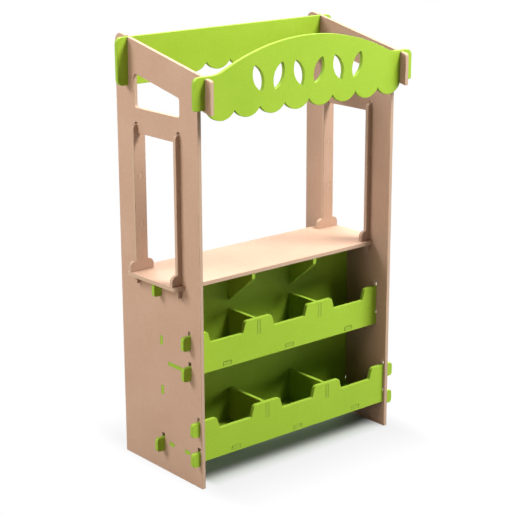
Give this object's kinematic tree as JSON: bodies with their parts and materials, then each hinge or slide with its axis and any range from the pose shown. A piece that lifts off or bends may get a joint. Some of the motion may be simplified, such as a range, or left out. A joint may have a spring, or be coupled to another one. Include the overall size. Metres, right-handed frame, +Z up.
{
  "type": "toy market stall",
  "caption": "Free-standing play shop of slotted flat boards: counter through windowed side panels, produce trays below, scalloped front sign and rear valance that lift off.",
  "frame": {"origin": "middle of the stall's footprint, on the floor", "axes": "+Z up, -Y towards the customer in front of the sign, +X to that customer's right"},
  "size_m": [0.68, 0.362, 1.0673],
  "materials": {
    "natural_board": "bare smooth fibreboard, matt",
    "green_board": "lime green lacquered fibreboard, satin"
  },
  "bodies": {
    "frame": {"side_panel_left": "natural_board", "side_panel_right": "natural_board", "counter": "natural_board", "post_left_front": "natural_board", "post_left_rear": "natural_board", "post_right_front": "natural_board", "post_right_rear": "natural_board", "mid_panel": "green_board", "upper_tray_front": "green_board", "lower_tray_front": "green_board", "upper_tray_floor": "green_board", "lower_tray_floor": "green_board", "upper_divider_left": "green_board", "upper_divider_right": "green_board", "lower_divider_left": "green_board", "lower_divider_right": "green_board", "counter_bracket_left": "green_board", "counter_bracket_right": "green_board"},
    "front_sign": {"front_sign": "green_board"},
    "rear_valance": {"rear_valance": "green_board"}
  },
  "joints": [
    {"name": "front_sign_lift", "type": "slide", "parent": "frame", "child": "front_sign", "axis": [0, 0, 1], "range_m": [0, 0.038]},
    {"name": "rear_valance_lift", "type": "slide", "parent": "frame", "child": "rear_valance", "axis": [0, 0, 1], "range_m": [0, 0.056]}
  ]
}
